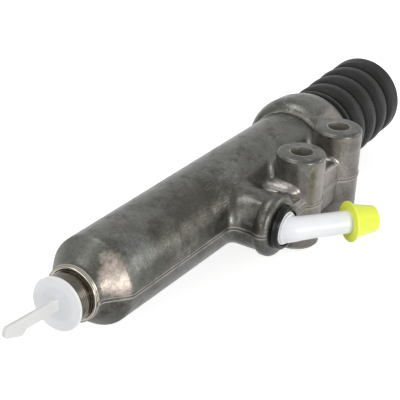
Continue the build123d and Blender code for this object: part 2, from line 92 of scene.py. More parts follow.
# %% Places on the casting
bore_y, bore_z = 23.0 * MM, 18.25 * MM
barrel_r = 16 * MM
bolt_x, bolt_wall_r = 15.0 * MM, 4.27 * MM
parting_z = 17.95 * MM
casting_low, casting_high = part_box("body_casting")
nose_x, mouth_x = casting_low.x, casting_high.x
neck_end = nose_x + 8.7 * MM
bore = Vector((0, bore_y, bore_z))
along_x, up_z = Vector((1, 0, 0)), Vector((0, 0, 1))
print("bore runs from", round(nose_x, 4), "to", round(mouth_x, 4))

# %% [markdown]
# ## Camera
# The photograph was taken with a long lens, from the outlet end, a little above the part and with
# the camera slightly rolled. The place, angles and lens were solved from points on the part that
# show in the photograph. They are set directly, so that nothing has to track a target.

# %% Camera
camera_place = Vector((-466.2, -221.2, 259.55)) * MM
heading, downward, roll = (math.radians(angle) for angle in (30.268, 26.119, 3.704))
camera_data = bpy.data.cameras.new("camera")
camera_data.sensor_width = 36.0
camera_data.lens = 133.54
camera = bpy.data.objects.new("camera", camera_data)
bpy.context.scene.collection.objects.link(camera)
forward = Vector((
    math.cos(heading) * math.cos(downward),
    math.sin(heading) * math.cos(downward),
    -math.sin(downward),
))
level_right = forward.cross(up_z).normalized()
level_up = level_right.cross(forward)
right = math.cos(roll) * level_right + math.sin(roll) * level_up
up = math.cos(roll) * level_up - math.sin(roll) * level_right
turn = Matrix((right, up, -forward)).transposed().to_4x4()
camera.matrix_world = Matrix.Translation(camera_place) @ turn
bpy.context.scene.camera = camera
print("camera stands", round(camera.location.length, 3), "m from the origin")

# %% [markdown]
# ## Floor and surround
# The part lies on a plain pale floor, which meets a white surround. Light Path keeps both white
# where they are seen or mirrored, while the light that the surround sends onto the part stays
# soft. The floor keeps the part's shadow. A plain white world would flatten the cast metal.

# %% Floor and surround
def seen_directly(nodes, links):
    """One value that is 1 for camera, mirror and see-through rays, and 0 for light on the part."""
    path = nodes.new("ShaderNodeLightPath")
    total = path.outputs["Is Camera Ray"]
    for label in ("Is Glossy Ray", "Is Transmission Ray"):
        most = nodes.new("ShaderNodeMath")
        most.operation = "MAXIMUM"
        links.new(total, most.inputs[0])
        links.new(path.outputs[label], most.inputs[1])
        total = most.outputs[0]
    return total


def white_surround(light):
    """A world that looks white and lights the part with the given strength."""
    world = bpy.data.worlds.new("surround")
    world.use_nodes = True
    nodes, links = world.node_tree.nodes, world.node_tree.links
    background = nodes["Background"]
    background.inputs["Color"].default_value = (1, 1, 1, 1)
    strength = nodes.new("ShaderNodeMapRange")
    strength.inputs["To Min"].default_value = light
    links.new(seen_directly(nodes, links), strength.inputs["Value"])
    links.new(strength.outputs["Result"], background.inputs["Strength"])
    bpy.context.scene.world = world


def floor_finish(whiteness):
    """A pale floor that keeps the part's shadow, lifted to white where it is seen or mirrored."""
    material = bpy.data.materials.new("pale floor")
    material.use_nodes = True
    nodes, links = material.node_tree.nodes, material.node_tree.links
    shader = nodes["Principled BSDF"]
    shader.inputs["Base Color"].default_value = (0.8, 0.8, 0.8, 1)
    shader.inputs["Roughness"].default_value = 0.9
    shader.inputs["Specular IOR Level"].default_value = 0.0
    shader.inputs["Emission Color"].default_value = (1, 1, 1, 1)
    lift = nodes.new("ShaderNodeMath")
    lift.operation = "MULTIPLY"
    lift.inputs[1].default_value = whiteness
    links.new(seen_directly(nodes, links), lift.inputs[0])
    links.new(lift.outputs[0], shader.inputs["Emission Strength"])
    return material


def floor_plane(half_width, height, whiteness):
    mesh = bmesh.new()
    bmesh.ops.create_grid(mesh, x_segments=1, y_segments=1, size=half_width)
    bmesh.ops.translate(mesh, vec=(0, 0, height), verts=mesh.verts)
    data = bpy.data.meshes.new("floor")
    mesh.to_mesh(data)
    mesh.free()
    data.materials.append(floor_finish(whiteness))
    floor = bpy.data.objects.new("floor", data)
    bpy.context.scene.collection.objects.link(floor)
    floor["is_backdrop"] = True


bpy.context.scene.view_settings.view_transform = "Standard"
white_surround(light=0.24)
rest_z = min(casting_low.z, 0.0)
floor_plane(half_width=6.0, height=rest_z, whiteness=0.78)
print("floor at z =", round(rest_z, 5))

# %% [markdown]
# ## Lamps
# Large area lamps give the long, soft highlights that show the form of cast metal. One stands low
# on the inlet's side, one is high above, one is in front of the outlet, and a weaker one behind
# picks out the boot's folds.

# %% Lamps
part_middle = Vector((-0.02, 0.01, 0.02))


def area_lamp(name, spot, width, height, watts):
    """A soft rectangular lamp that faces the middle of the part."""
    data = bpy.data.lights.new(name, "AREA")
    data.shape = "RECTANGLE"
    data.size, data.size_y, data.energy = width, height, watts
    lamp = bpy.data.objects.new(name, data)
    facing = (part_middle - Vector(spot)).to_track_quat("-Z", "Y").to_matrix().to_4x4()
    lamp.matrix_world = Matrix.Translation(spot) @ facing
    bpy.context.scene.collection.objects.link(lamp)
    return lamp


lamps = [
    area_lamp("side_softbox", (-0.3, -0.86, 0.16), width=0.3, height=0.22, watts=4.2),
    area_lamp("top_softbox", (-0.1, 0.3, 0.9), width=0.6, height=0.4, watts=3),
    area_lamp("front_softbox", (-0.9, 0.2, 0.4), width=0.9, height=0.7, watts=3.4),
    area_lamp("rear_softbox", (0.6, -0.7, 0.3), width=0.5, height=0.4, watts=1.6),
]
print("lamps:", [lamp.name for lamp in lamps])

# %% [markdown]
# ## Small tools for shader trees
# A shader tree is easier to read when each step is one short call. These helpers feed a socket
# from another socket or from a plain value, and return what the step puts out. Building the trees
# from calls also keeps one recipe in one place, where nodes set by hand would repeat it.

# %% Shader helpers
def feed(tree, socket, value):
    """Link a socket to another socket, or set it to a plain value."""
    if isinstance(value, bpy.types.NodeSocket):
        tree.links.new(value, socket)
    else:
        socket.default_value = value


def calc(tree, operation, first, second=0.0):
    node = tree.nodes.new("ShaderNodeMath")
    node.operation = operation
    feed(tree, node.inputs[0], first)
    feed(tree, node.inputs[1], second)
    return node.outputs[0]


def times(tree, first, second):
    return calc(tree, "MULTIPLY", first, second)


def plus(tree, first, second):
    return calc(tree, "ADD", first, second)


def minus(tree, first, second):
    return calc(tree, "SUBTRACT", first, second)


def soft_step(tree, value, low, high, start=0.0, end=1.0):
    """Ease from start to end while a value goes from low to high."""
    node = tree.nodes.new("ShaderNodeMapRange")
    node.interpolation_type = "SMOOTHSTEP"
    for name, number in (("From Min", low), ("From Max", high), ("To Min", start), ("To Max", end)):
        feed(tree, node.inputs[name], number)
    feed(tree, node.inputs["Value"], value)
    return node.outputs["Result"]


def noise(tree, vector, scale, detail=3.0, roughness=0.5, distortion=0.0):
    node = tree.nodes.new("ShaderNodeTexNoise")
    feed(tree, node.inputs["Vector"], vector)
    feed(tree, node.inputs["Scale"], scale)
    feed(tree, node.inputs["Detail"], detail)
    feed(tree, node.inputs["Roughness"], roughness)
    feed(tree, node.inputs["Distortion"], distortion)
    return node.outputs["Fac"]


def blend_colour(tree, factor, first, second, blend="MIX"):
    """Mix two colours, each a socket or a plain (red, green, blue)."""
    node = tree.nodes.new("ShaderNodeMix")
    node.data_type, node.blend_type = "RGBA", blend
    feed(tree, node.inputs[0], factor)
    for socket, colour in ((node.inputs[6], first), (node.inputs[7], second)):
        feed(tree, socket, (*colour, 1) if isinstance(colour, tuple) else colour)
    return node.outputs[2]


def tint(tree, tone, mask, amount, colour):
    """Lay a colour over a tone, as far as a mask times an amount."""
    return blend_colour(tree, times(tree, mask, amount), tone, colour)


# %% [markdown]
# ### Places as numbers
# Finishes follow places on the part, not a flat unwrapping. These helpers turn a place into its
# coordinates, its distance from the bore's axis, or a soft band round a value, and they make and
# use the node groups.

# %% Helpers for places and groups
def mapped(tree, vector, turn=(0, 0, 0), scale=(1, 1, 1)):
    node = tree.nodes.new("ShaderNodeMapping")
    feed(tree, node.inputs["Vector"], vector)
    node.inputs["Rotation"].default_value = [math.radians(angle) for angle in turn]
    node.inputs["Scale"].default_value = scale
    return node.outputs[0]


def coordinates(tree, vector):
    node = tree.nodes.new("ShaderNodeSeparateXYZ")
    feed(tree, node.inputs[0], vector)
    return node.outputs


def from_bore(tree, place):
    """How far a place is from the bore's axis, and its angle up from the side with the lugs."""
    y, z = coordinates(tree, place)[1:]
    out, rise = minus(tree, bore_y, y), minus(tree, z, bore_z)
    squares = plus(tree, times(tree, out, out), times(tree, rise, rise))
    return calc(tree, "SQRT", squares), calc(tree, "ARCTAN2", rise, out)


def band(tree, value, middle, half, soft):
    """1 where a value lies within half of a middle value, easing to 0 over a soft edge."""
    away = calc(tree, "ABSOLUTE", minus(tree, value, middle))
    return soft_step(tree, away, half + soft, half)


def new_group(name, inputs, outputs):
    """A node group with a Place input, other number inputs with defaults, and number outputs."""
    tree = bpy.data.node_groups.new(name, "ShaderNodeTree")
    tree.interface.new_socket("Place", in_out="INPUT", socket_type="NodeSocketVector")
    for label, value in inputs.items():
        socket = tree.interface.new_socket(label, in_out="INPUT", socket_type="NodeSocketFloat")
        socket.default_value = value
    for label in outputs:
        tree.interface.new_socket(label, in_out="OUTPUT", socket_type="NodeSocketFloat")
    print("group:", name, "gives", outputs)
    given = tree.nodes.new("NodeGroupInput").outputs
    return tree, given, tree.nodes.new("NodeGroupOutput").inputs


def use_group(tree, name, **values):
    node = tree.nodes.new("ShaderNodeGroup")
    node.node_tree = bpy.data.node_groups[name]
    for label, value in values.items():
        feed(tree, node.inputs[label.capitalize()], value)
    return node.outputs


# %% [markdown]
# ## Effects that several finishes share
# Each effect is one node group that puts out masks or a height, so that every material can use it
# at its own strength. The first is the skin of a cast or moulded surface. It has fine grit, an
# orange peel and slow waves, and adding three sizes of noise gives all of them at once.

# %% Grain of a cast or moulded skin
def build_grain():
    tree, given, out = new_group("Skin grain", {"Size": 1.0}, ["Height"])
    total = None
    for per_metre, detail, roughness, share in (
        (1900.0, 2.0, 0.5, 0.25),
        (420.0, 3.0, 0.6, 0.45),
        (90.0, 2.0, 0.5, 0.5),
    ):
        scale = calc(tree, "DIVIDE", per_metre, given["Size"])
        layer = times(tree, noise(tree, given["Place"], scale, detail, roughness), share)
        total = layer if total is None else plus(tree, total, layer)
    feed(tree, out["Height"], total)


build_grain()


# %% [markdown]
# ### Stains
# Oil and mould release dry in broad clouds with smaller spots in them. Two noises cut off by a
# soft step give both, and each material chooses how dark they are.

# %% Stains
def build_stains():
    tree, given, out = new_group("Stains", {"Size": 1.0}, ["Broad", "Spots"])
    for label, per_metre, detail, roughness, distortion, low, high in (
        ("Broad", 38.0, 5.0, 0.62, 0.6, 0.38, 0.66),
        ("Spots", 170.0, 4.0, 0.65, 0.3, 0.5, 0.72),
    ):
        scale = calc(tree, "DIVIDE", per_metre, given["Size"])
        cloud = noise(tree, given["Place"], scale, detail, roughness, distortion)
        feed(tree, out[label], soft_step(tree, cloud, low, high))


build_stains()


# %% [markdown]
# ### Scuffs
# Handling leaves pale strokes that run side by side. A noise stretched along one direction makes
# the strokes, and a second noise keeps them to patches. Three directions are laid over each other.

# %% Scuffs
def build_scuffs():
    tree, given, out = new_group("Scuffs", {}, ["Mask"])
    stretch = (300, 3000, 3000)
    total = None
    for angles, patches in (((0, 12, 24), 90.0), ((0, -18, -35), 120.0), ((0, 40, 70), 80.0)):
        strokes = noise(tree, mapped(tree, given["Place"], angles, stretch), 1.0, 2.0)
        patch = noise(tree, mapped(tree, given["Place"], angles), patches, 3.0)
        mark = times(tree, soft_step(tree, strokes, 0.5, 0.72), soft_step(tree, patch, 0.52, 0.7))
        total = mark if total is None else calc(tree, "MAXIMUM", total, mark)
    feed(tree, out["Mask"], total)


build_scuffs()


# %% [markdown]
# ### Worn edges with a painted highlight
# Edges that are worn turn bright, and the same brightening is also a painted highlight along
# rounded edges. A bevelled normal differs from the true one only near an edge, so comparing the
# two finds the edges without a painted map. Noise breaks the line up.

# %% Worn edges with a painted highlight
def build_edge_wear_and_highlight():
    tree, given, out = new_group("Edge wear and highlight", {"Width": 0.0006}, ["Mask"])
    bevel = tree.nodes.new("ShaderNodeBevel")
    bevel.samples = 4
    feed(tree, bevel.inputs["Radius"], given["Width"])
    true_normal = tree.nodes.new("ShaderNodeNewGeometry").outputs["Normal"]
    compare = tree.nodes.new("ShaderNodeVectorMath")
    compare.operation = "DOT_PRODUCT"
    feed(tree, compare.inputs[0], bevel.outputs[0])
    feed(tree, compare.inputs[1], true_normal)
    edge = soft_step(tree, compare.outputs["Value"], 0.995, 0.9)
    broken = soft_step(tree, noise(tree, given["Place"], 260.0, 3.0), 0.3, 0.6, 0.25, 1.0)
    feed(tree, out["Mask"], times(tree, edge, broken))


build_edge_wear_and_highlight()


# %% [markdown]
# ### Turning marks
# A lathe leaves fine rings. A sine wave of the place along the axis plus the distance from it
# gives rings on round faces and on flat ones.

# %% Turning marks
def build_turning_marks():
    tree, given, out = new_group("Turning marks", {"Pitch": 0.0003}, ["Height"])
    x, radius = coordinates(tree, given["Place"])["X"], from_bore(tree, given["Place"])[0]
    waves = calc(tree, "DIVIDE", plus(tree, x, radius), given["Pitch"])
    feed(tree, out["Height"], calc(tree, "SINE", times(tree, waves, 2 * math.pi)))


build_turning_marks()

# %% [markdown]
# ## Finishes
# Each finish starts from the same short recipe: a Principled shader, a colour, a roughness and a
# bump. What varies over the surface comes from the groups above.

# %% A starting point for every finish
def start_finish(name):
    material = bpy.data.materials.new(name)
    material.use_nodes = True
    tree = material.node_tree
    place = tree.nodes.new("ShaderNodeTexCoord").outputs["Object"]
    print("finish:", name)
    return material, tree, tree.nodes["Principled BSDF"], place


def uneven_roughness(tree, shader, spots, change, roughness):
    feed(tree, shader.inputs["Roughness"], plus(tree, times(tree, spots, change), roughness))


def let_light_in(shader, weight, depth):
    shader.inputs["Subsurface Weight"].default_value = weight
    shader.inputs["Subsurface Radius"].default_value = (1.0, 1.0, 1.0)
    shader.inputs["Subsurface Scale"].default_value = depth


def add_bump(tree, shader, height, distance, strength=1.0):
    bump = tree.nodes.new("ShaderNodeBump")
    bump.inputs["Distance"].default_value = distance
    bump.inputs["Strength"].default_value = strength
    feed(tree, bump.inputs["Height"], height)
    feed(tree, shader.inputs["Normal"], bump.outputs[0])


# %% [markdown]
# ### Masks for places on the casting
# A few places on the casting have their own look, so each gets a mask, a number from 0 to 1 made
# from the place on the part. An oval on the barrel serves for the brown stain beside the inlet, the
# scratched patch by the nose and the worn patch on the cone, which also carries a painted highlight.
# The die's parting line gets two pale lines with a dark one between, and the bolt holes' walls are
# found by their distance from their own axes.

# %% Masks for places on the casting
def oval_area(tree, place, middle_x, angle, half_x, half_round):
    """A mask with a wavering edge, oval on the barrel, round one place (mm and degrees)."""
    x = coordinates(tree, place)["X"]
    turned = minus(tree, from_bore(tree, place)[1], math.radians(angle))
    u = calc(tree, "DIVIDE", minus(tree, x, middle_x * MM), half_x * MM)
    v = calc(tree, "DIVIDE", times(tree, turned, barrel_r), half_round * MM)
    reach = calc(tree, "SQRT", plus(tree, times(tree, u, u), times(tree, v, v)))
    wander = times(tree, minus(tree, noise(tree, place, 110.0, 7.0, 0.7), 0.5), 2.2)
    return soft_step(tree, plus(tree, reach, wander), 1.25, 0.55)


def parting_lines(tree, place):
    """Two pale lines along the band where the halves of the die met, and the dark line between."""
    z = coordinates(tree, place)["Z"]
    from_middle = calc(tree, "ABSOLUTE", minus(tree, z, parting_z))
    unbroken = soft_step(tree, noise(tree, place, 300.0, 3.0), 0.25, 0.6, 0.35, 1.0)
    pale = times(tree, band(tree, from_middle, 0.62 * MM, 0.1 * MM, 0.12 * MM), unbroken)
    return pale, band(tree, z, parting_z, 0.25 * MM, 0.2 * MM)


def bolt_hole_walls(tree, place):
    x, y, z = coordinates(tree, place)
    across = minus(tree, calc(tree, "ABSOLUTE", x), bolt_x)
    squares = plus(tree, times(tree, across, across), times(tree, y, y))
    return calc(tree, "LESS_THAN", calc(tree, "SQRT", squares), bolt_wall_r)


# %% [markdown]
# ### Colour of the cast skin
# The casting is grey with a green and brown cast, because mould release and oil have stained it in
# patches. The colour is laid on in thin coats, as a painter would: broad clouds, oil spots, pale
# flecks, the lugs lightened as a painted reflection, then the three ovals, the last of them a worn
# patch with a painted highlight on the cone. A fine speckle goes over all of it, and a painted
# shade darkens the underside.

# %% Colour of the cast skin
def cast_colour(tree, place):
    """The colour of the skin, and the stains that its roughness also follows."""
    stains = use_group(tree, "Stains", place=place, size=1.0)
    small = use_group(tree, "Stains", place=place, size=0.42)
    x, y, z = coordinates(tree, place)
    radius = from_bore(tree, place)[0]
    bare, stained, oily = (0.125, 0.124, 0.114), (0.07, 0.071, 0.06), (0.05, 0.04, 0.032)
    tone = blend_colour(tree, stains["Broad"], bare, stained)
    tone = tint(tree, tone, stains["Spots"], 0.7, oily)

    in_patches = soft_step(tree, noise(tree, place, 45.0, 3.0), 0.42, 0.6)
    flecks = times(tree, small["Spots"], in_patches)
    tone = tint(tree, tone, flecks, 0.4, (0.27, 0.28, 0.275))

    # Painted reflection: the lugs are lightened to a paler, pinker tone.
    lugs = soft_step(tree, radius, 17.5 * MM, 20.5 * MM)
    lugs = times(tree, lugs, soft_step(tree, x, -30 * MM, -26 * MM))
    lugs = times(tree, lugs, soft_step(tree, z, 35.4 * MM, 34.6 * MM))
    lugs = times(tree, lugs, soft_step(tree, stains["Broad"], 0.0, 1.0, 0.7, 0.25))
    tone = blend_colour(tree, lugs, tone, (0.29, 0.26, 0.24))

    brown = oval_area(tree, place, -66, 44, 29, 10)
    tone = tint(tree, tone, brown, 0.66, (0.04, 0.034, 0.025))

    scratched = oval_area(tree, place, -105, 43, 8, 5.5)
    strokes = noise(tree, mapped(tree, place, (0, 0, 8), (2300, 330, 330)), 1.0, 3.0)
    scratches = times(tree, scratched, soft_step(tree, strokes, 0.46, 0.7, 0.1, 0.8))
    tone = blend_colour(tree, scratches, tone, (0.17, 0.18, 0.18))

    # A worn patch on the cone, which is also a painted highlight.
    cone_wear_and_highlight = oval_area(tree, place, -118.8, 30, 5.5, 9)
    cone_wear_and_highlight = times(tree, cone_wear_and_highlight, soft_step(tree, small["Broad"], 0.0, 1.0, 0.35, 0.75))
    tone = blend_colour(tree, cone_wear_and_highlight, tone, (0.5, 0.42, 0.37))

    speckle = noise(tree, place, 1300.0, 2.0, 0.6)
    speckle = blend_colour(tree, speckle, (0.2, 0.2, 0.2), (1.8, 1.8, 1.8))
    tone = blend_colour(tree, 0.6, tone, speckle, "MULTIPLY")
    # Painted shade: the colour darkens towards the bottom of the casting.
    underside_shade = soft_step(tree, z, 25 * MM, 8 * MM)
    return tint(tree, tone, underside_shade, 0.42, (0.02, 0.019, 0.018)), stains


# %% [markdown]
# ### The turned neck
# The neck and the step behind it were cut on a lathe. The neck is dark in its grooves and spotted
# with oil, and the step's rim is bright.

# %% Colour of the turned neck
def neck_colour(tree, x, radius, rings, spots):
    lined = soft_step(tree, rings, -0.6, 0.9)
    neck = blend_colour(tree, lined, (0.05, 0.046, 0.036), (0.17, 0.155, 0.125))
    neck = blend_colour(tree, spots, neck, (0.05, 0.03, 0.018))
    on_rim = soft_step(tree, radius, 8.1 * MM, 8.4 * MM)
    on_rim = times(tree, on_rim, soft_step(tree, x, nose_x + 6.3 * MM, nose_x + 6.5 * MM))
    rim = blend_colour(tree, lined, (0.13, 0.11, 0.085), (0.6, 0.56, 0.49))
    return blend_colour(tree, on_rim, neck, rim)


# %% [markdown]
# ### Cast aluminium
# The skin, the neck and the hole walls come together in one material, because the casting is one
# piece. Scuffs, worn edges with their painted highlight and the parting lines lie over the skin.
# The oily patches are smoother, the cone is duller, and the grain stops where a tool has cut.

# %% Cast aluminium
def cast_aluminium():
    material, tree, shader, place = start_finish("cast aluminium")
    x, radius = coordinates(tree, place)["X"], from_bore(tree, place)[0]
    scuffs = use_group(tree, "Scuffs", place=place)["Mask"]
    edge_wear_and_highlight = use_group(tree, "Edge wear and highlight", place=place, width=0.0012)["Mask"]
    grain = use_group(tree, "Skin grain", place=place, size=1.0)["Height"]
    rings = use_group(tree, "Turning marks", place=place, pitch=0.0008)["Height"]
    pale, dark = parting_lines(tree, place)
    neck = soft_step(tree, x, neck_end + 0.05 * MM, neck_end)
    walls = bolt_hole_walls(tree, place)

    tone, stains = cast_colour(tree, place)
    tone = tint(tree, tone, scuffs, 0.35, (0.3, 0.3, 0.29))
    # Worn edges, lightened also as a painted highlight on the rounded edges.
    tone = tint(tree, tone, edge_wear_and_highlight, 0.7, (0.5, 0.45, 0.41))
    tone = tint(tree, tone, pale, 0.6, (0.42, 0.39, 0.36))
    tone = tint(tree, tone, dark, 0.35, (0.05, 0.047, 0.04))
    neck_tone = neck_colour(tree, x, radius, rings, stains["Spots"])
    tone = blend_colour(tree, neck, tone, neck_tone)
    tone = blend_colour(tree, walls, tone, (0.46, 0.44, 0.4))
    feed(tree, shader.inputs["Base Color"], tone)
    shader.inputs["Metallic"].default_value = 0.9

    cone = soft_step(tree, x, nose_x + 22 * MM, nose_x + 17 * MM)
    cone = times(tree, cone, minus(tree, 1.0, neck))
    rough = 0.36
    for mask, change in (
        (stains["Broad"], -0.07), (stains["Spots"], 0.12),
        (neck, -0.12), (walls, 0.06), (cone, 0.13),
    ):
        rough = plus(tree, rough, times(tree, mask, change))
    feed(tree, shader.inputs["Roughness"], rough)

    uncut = minus(tree, 1.0, calc(tree, "MAXIMUM", neck, walls))
    marks = times(tree, rings, times(tree, neck, 0.1))
    add_bump(tree, shader, plus(tree, times(tree, grain, uncut), marks), 0.0002, 0.9)
    return material


# %% [markdown]
# ### Turned and sprung metal
# The inner metal parts are hardly seen, but the pushrod's end is. Each is a plain metal with fine
# rings and a little dark oil.

# %% Steels and piston alloy
def turned_metal(name, colour, roughness, oil):
    material, tree, shader, place = start_finish(name)
    stains = use_group(tree, "Stains", place=place, size=0.5)
    rings = use_group(tree, "Turning marks", place=place, pitch=0.00028)["Height"]
    oiled = tuple(channel * 0.45 for channel in colour)
    tone = blend_colour(tree, times(tree, stains["Broad"], oil), colour, oiled)
    feed(tree, shader.inputs["Base Color"], tone)
    shader.inputs["Metallic"].default_value = 1.0
    uneven_roughness(tree, shader, stains["Spots"], 0.15, roughness)
    add_bump(tree, shader, rings, 0.00001, 0.6)
    return material


# %% [markdown]
# ### Seal and grommet rubber
# Seals are dull with a faint bloom. The grommet in the inlet is wet with oil, so it shines. One
# function makes both, with the bloom and the gloss as its settings.

# %% Seal and grommet rubber
def rubber(name, colour, bloom, roughness, gloss):
    material, tree, shader, place = start_finish(name)
    stains = use_group(tree, "Stains", place=place, size=0.55)
    grain = use_group(tree, "Skin grain", place=place, size=0.8)["Height"]
    tone = blend_colour(tree, times(tree, stains["Broad"], bloom), colour, (0.12, 0.12, 0.12))
    feed(tree, shader.inputs["Base Color"], tone)
    uneven_roughness(tree, shader, stains["Spots"], 0.12, roughness)
    shader.inputs["Specular IOR Level"].default_value = gloss
    add_bump(tree, shader, grain, 0.00002)
    return material


# %% [markdown]
# ### Boot rubber
# The boot is a dull charcoal black. Its valleys are darkened as a painted shade, and its ridges get
# a painted highlight mixed with dust and bloom, so its pieces carry an attribute, ridge, from 0 in a
# valley to 1 on a ridge. The attribute stays with the rubber when the folds close up, where a place
# in space would not.

# %% Boot rubber
def boot_rubber():
    material, tree, shader, place = start_finish("boot rubber")
    grain = use_group(tree, "Skin grain", place=place, size=0.7)["Height"]
    attribute = tree.nodes.new("ShaderNodeAttribute")
    attribute.attribute_name = "ridge"
    ridge = attribute.outputs["Fac"]
    streaks = noise(tree, mapped(tree, place, (0, -4, 0), (1500, 70, 70)), 1.0, 3.0, 0.6)
    specks = noise(tree, place, 1500.0, 3.0, 0.7)
    valley, open_side = (0.0015, 0.0015, 0.0015), (0.008, 0.008, 0.0076)
    # Painted shade: the valleys of the folds are darker than their open sides.
    tone = blend_colour(tree, soft_step(tree, ridge, 0.05, 0.5), valley, open_side)
    tone = tint(tree, tone, soft_step(tree, streaks, 0.45, 0.75), 0.3, (0.045, 0.045, 0.042))
    tone = tint(tree, tone, soft_step(tree, specks, 0.55, 0.75), 0.5, (0.07, 0.07, 0.065))
    # Painted highlight along the ridges, broken by dust specks.
    crest = times(tree, soft_step(tree, ridge, 0.93, 1.0), soft_step(tree, specks, 0.35, 0.6))
    tone = tint(tree, tone, crest, 0.35, (0.1, 0.1, 0.092))
    feed(tree, shader.inputs["Base Color"], tone)
    feed(tree, shader.inputs["Roughness"], soft_step(tree, ridge, 0.0, 1.0, 0.8, 0.44))
    shader.inputs["Specular IOR Level"].default_value = 0.2
    add_bump(tree, shader, plus(tree, grain, times(tree, streaks, 0.5)), 0.00015)
    return material


# %% [markdown]
# ### White and yellow plastic
# The elbow and the cap are moulded, and a little light enters them. Some subsurface light gives
# that softness, and a faint second shade shows the unevenness of the mould.

# %% White and yellow plastic
def plastic(name, colour, shade, roughness, glow):
    material, tree, shader, place = start_finish(name)
    stains = use_group(tree, "Stains", place=place, size=0.4)
    grain = use_group(tree, "Skin grain", place=place, size=1.2)["Height"]
    tone = blend_colour(tree, times(tree, stains["Broad"], 0.6), colour, shade)
    feed(tree, shader.inputs["Base Color"], tone)
    uneven_roughness(tree, shader, stains["Spots"], 0.08, roughness)
    let_light_in(shader, glow, 0.0015)
    add_bump(tree, shader, grain, 0.00004)
    return material


# %% [markdown]
# ### Plastic of the plug
# The plug is translucent polythene. The dark opening behind it shows through its disc as a greyer
# middle, and the thin tab is darker than the disc. A tone by place says this more quickly than
# real transparency, which would need the inside of the port to be drawn.

# %% Plastic of the plug
def clear_plastic():
    material, tree, shader, place = start_finish("clear plastic")
    x, radius = coordinates(tree, place)["X"], from_bore(tree, place)[0]
    stains = use_group(tree, "Stains", place=place, size=0.5)
    grain = use_group(tree, "Skin grain", place=place, size=1.2)["Height"]
    behind = times(tree, band(tree, radius, 0.0, 5.2 * MM, 1.6 * MM), 0.8)
    tab = soft_step(tree, x, nose_x - 1.2 * MM, nose_x - 1.4 * MM)
    tone = blend_colour(tree, behind, (0.86, 0.87, 0.885), (0.76, 0.785, 0.82))
    tone = blend_colour(tree, tab, tone, (0.7, 0.7, 0.68))
    tone = tint(tree, tone, stains["Broad"], 0.3, (0.74, 0.76, 0.78))
    feed(tree, shader.inputs["Base Color"], tone)
    uneven_roughness(tree, shader, stains["Spots"], 0.1, 0.36)
    let_light_in(shader, 0.4, 0.002)
    add_bump(tree, shader, grain, 0.00004)
    return material


# %% [markdown]
# ### One finish for each material slot
# The record names a material slot for every node. A table from slot to finish lets the CAD nodes
# and the new pieces share the same materials.

# %% All finishes by slot
seal_black, wet_black = (0.02, 0.02, 0.021), (0.002, 0.002, 0.002)
white, white_shade = (0.83, 0.84, 0.86), (0.78, 0.8, 0.83)
yellow, yellow_shade = (0.84, 0.92, 0.085), (0.76, 0.85, 0.04)
finishes = {
    "cast_alloy": cast_aluminium(),
    "piston_alloy": turned_metal("piston alloy", (0.55, 0.55, 0.53), roughness=0.25, oil=0.3),
    "plated_steel": turned_metal("plated steel", (0.5, 0.47, 0.4), roughness=0.3, oil=0.4),
    "spring_steel": turned_metal("spring steel", (0.2, 0.2, 0.2), roughness=0.35, oil=0.5),
    "rod_steel": turned_metal("rod steel", (0.42, 0.42, 0.42), roughness=0.3, oil=0.5),
    "seal_rubber": rubber("seal rubber", seal_black, bloom=0.1, roughness=0.45, gloss=0.3),
    "grommet_rubber": rubber("grommet rubber", wet_black, bloom=0.01, roughness=0.16, gloss=0.22),
    "boot_rubber": boot_rubber(),
    "white_plastic": plastic("white plastic", white, white_shade, roughness=0.35, glow=0.25),
    "yellow_plastic": plastic("yellow plastic", yellow, yellow_shade, roughness=0.3, glow=0.15),
    "clear_plastic": clear_plastic(),
}
print(len(finishes), "finishes")

# %% [markdown]
# ## Dress the CAD nodes
# Nodes whose shape is already right keep it and only get a better finish.

# %% Finishes on the CAD nodes
node_slots = {part["node"]: part["material_slot"] for part in frame["record"]["subparts"]}
for name, node in frame["nodes"].items():
    node.data.materials.clear()
    node.data.materials.append(finishes[node_slots[name]])
print(len(frame["nodes"]), "CAD nodes dressed")


# %% [markdown]
# ## From a bmesh to a finished piece
# Every new piece ends the same way. Its faces are shaded smooth, its sharper edges stay crisp, and
# it becomes an object at the origin, with the finish of its slot.

# %% Finished pieces
def shade_smooth(mesh, crease):
    """Smooth faces, with a crisp edge where they meet at more than the crease angle."""
    for face in mesh.faces:
        face.smooth = True
    for edge in mesh.edges:
        closed = len(edge.link_faces) == 2
        edge.smooth = closed and edge.calc_face_angle(0) < math.radians(crease)


def finished(mesh, name, slot, crease=40):
    """Turn a bmesh into a finished object with the material of its slot."""
    shade_smooth(mesh, crease)
    data = bpy.data.meshes.new(name)
    mesh.to_mesh(data)
    mesh.free()
    data.materials.append(finishes[slot])
    piece = bpy.data.objects.new(name, data)
    bpy.context.scene.collection.objects.link(piece)
    print(name, len(data.polygons), "faces")
    return piece


# %% [markdown]
# ## Smooth copies of hard pieces
# A CAD mesh is loose triangles. A copy is merged, so that its round surfaces shade smoothly and
# only real edges stay crisp. The form stays that of the CAD solid. The casting, the plug, the
# pushrod and the piston are dressed in this way.

# %% Smooth copies
merge_distance = 0.000002


def smooth_copy(node_name, name, crease):
    mesh = bmesh.new()
    mesh.from_mesh(frame["nodes"][node_name].data)
    bmesh.ops.remove_doubles(mesh, verts=mesh.verts, dist=merge_distance)
    piece = finished(mesh, name, node_slots[node_name], crease)
    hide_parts(node_name)
    return piece


casting_skin = smooth_copy("body_casting", "casting_skin", 32)
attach(casting_skin, "housing")
for node_name, name, body in (
    ("outlet_plug", "plug_skin", "housing"),
    ("pushrod", "pushrod_skin", "pushrod"),
    ("piston", "piston_skin", "piston_group"),
):
    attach(smooth_copy(node_name, name, 35), body)

